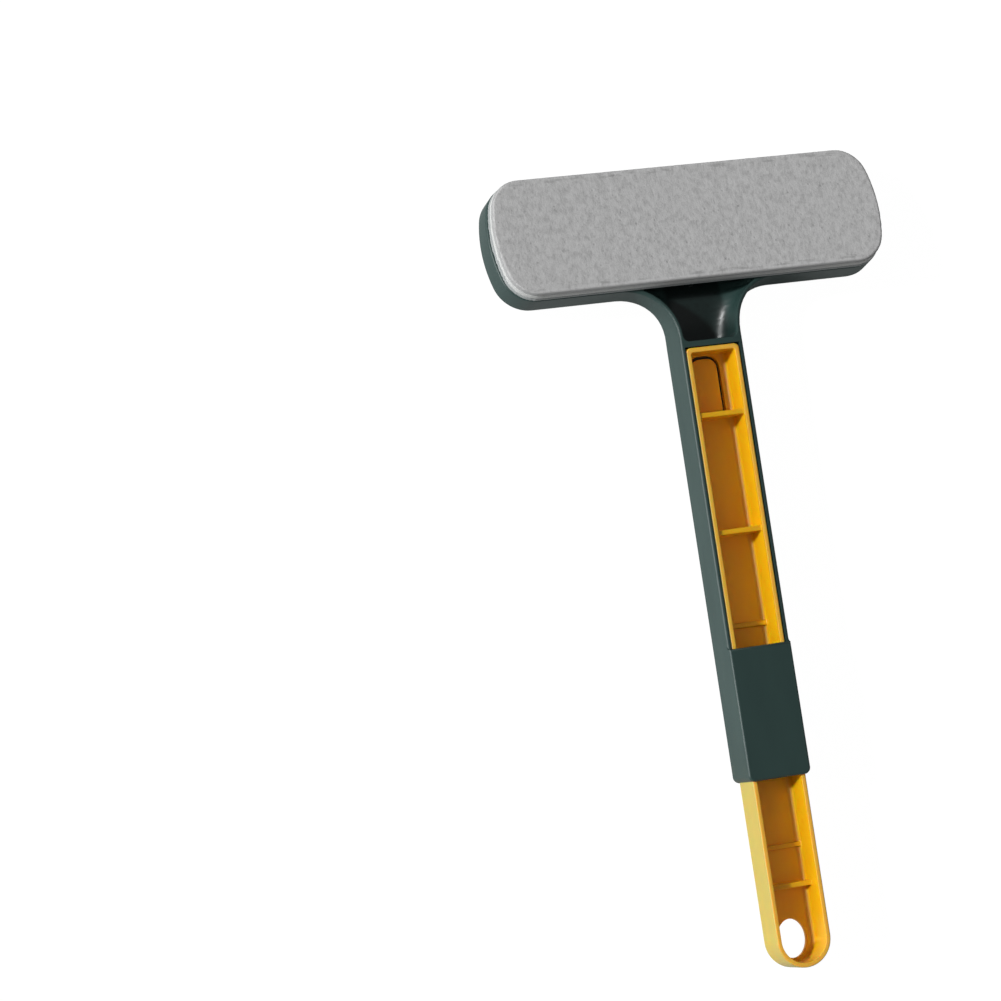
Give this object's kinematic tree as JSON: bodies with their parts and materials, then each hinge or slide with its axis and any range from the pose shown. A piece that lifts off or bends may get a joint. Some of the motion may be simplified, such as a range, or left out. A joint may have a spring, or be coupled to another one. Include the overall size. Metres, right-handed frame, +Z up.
{
  "type": "window screen cleaning brush",
  "caption": "T-shaped cleaning brush with a flat, removable pile pad on a hollow head, and a ribbed extension bar with a hanging hole that slides in the handle.",
  "frame": {"origin": "under the middle of the brush's bounding box, level with its lowest edge, with the handle slid in", "axes": "+Y from the handle's tail to the head, +Z up out of the handle's front, with the pad's face 12 degrees off it because the neck is bent, +X to the right of someone looking down on the pad with the head at the top"},
  "size_m": [0.132, 0.2544, 0.0212],
  "materials": {
    "green_plastic": "satin moulded plastic, dark green",
    "yellow_plastic": "satin moulded plastic, amber yellow",
    "hook_tape": "hook side of a hook-and-loop tape, black",
    "loop_backing": "loop side of a hook-and-loop fabric, light grey",
    "white_foam": "soft foam layer, white",
    "grey_pile": "short dense pile fabric, mid grey"
  },
  "bodies": {
    "handle": {"handle_body": "green_plastic", "head_cover_plate": "green_plastic", "hook_tape_left": "hook_tape", "hook_tape_right": "hook_tape"},
    "pad": {"pad_loop_backing": "loop_backing", "pad_foam": "white_foam", "pad_cover": "grey_pile"},
    "extension": {"extension_bar": "yellow_plastic"},
    "tongue": {"lock_tongue": "yellow_plastic"}
  },
  "joints": [
    {"name": "handle_extend", "type": "slide", "parent": "handle", "child": "extension", "axis": [0, -1, 0], "range_m": [0, 0.09]},
    {"name": "pad_lift", "type": "slide", "parent": "handle", "child": "pad", "axis": [0, 0.2079, 0.9781], "range_m": [0, 0.03]},
    {"name": "lock_press", "type": "hinge", "parent": "extension", "child": "tongue", "pos_m": [0, 0.04929, 0.00887], "axis": [1, 0, 0], "range_deg": [0, 8], "stiffness_Nm_per_rad": 0.5}
  ]
}
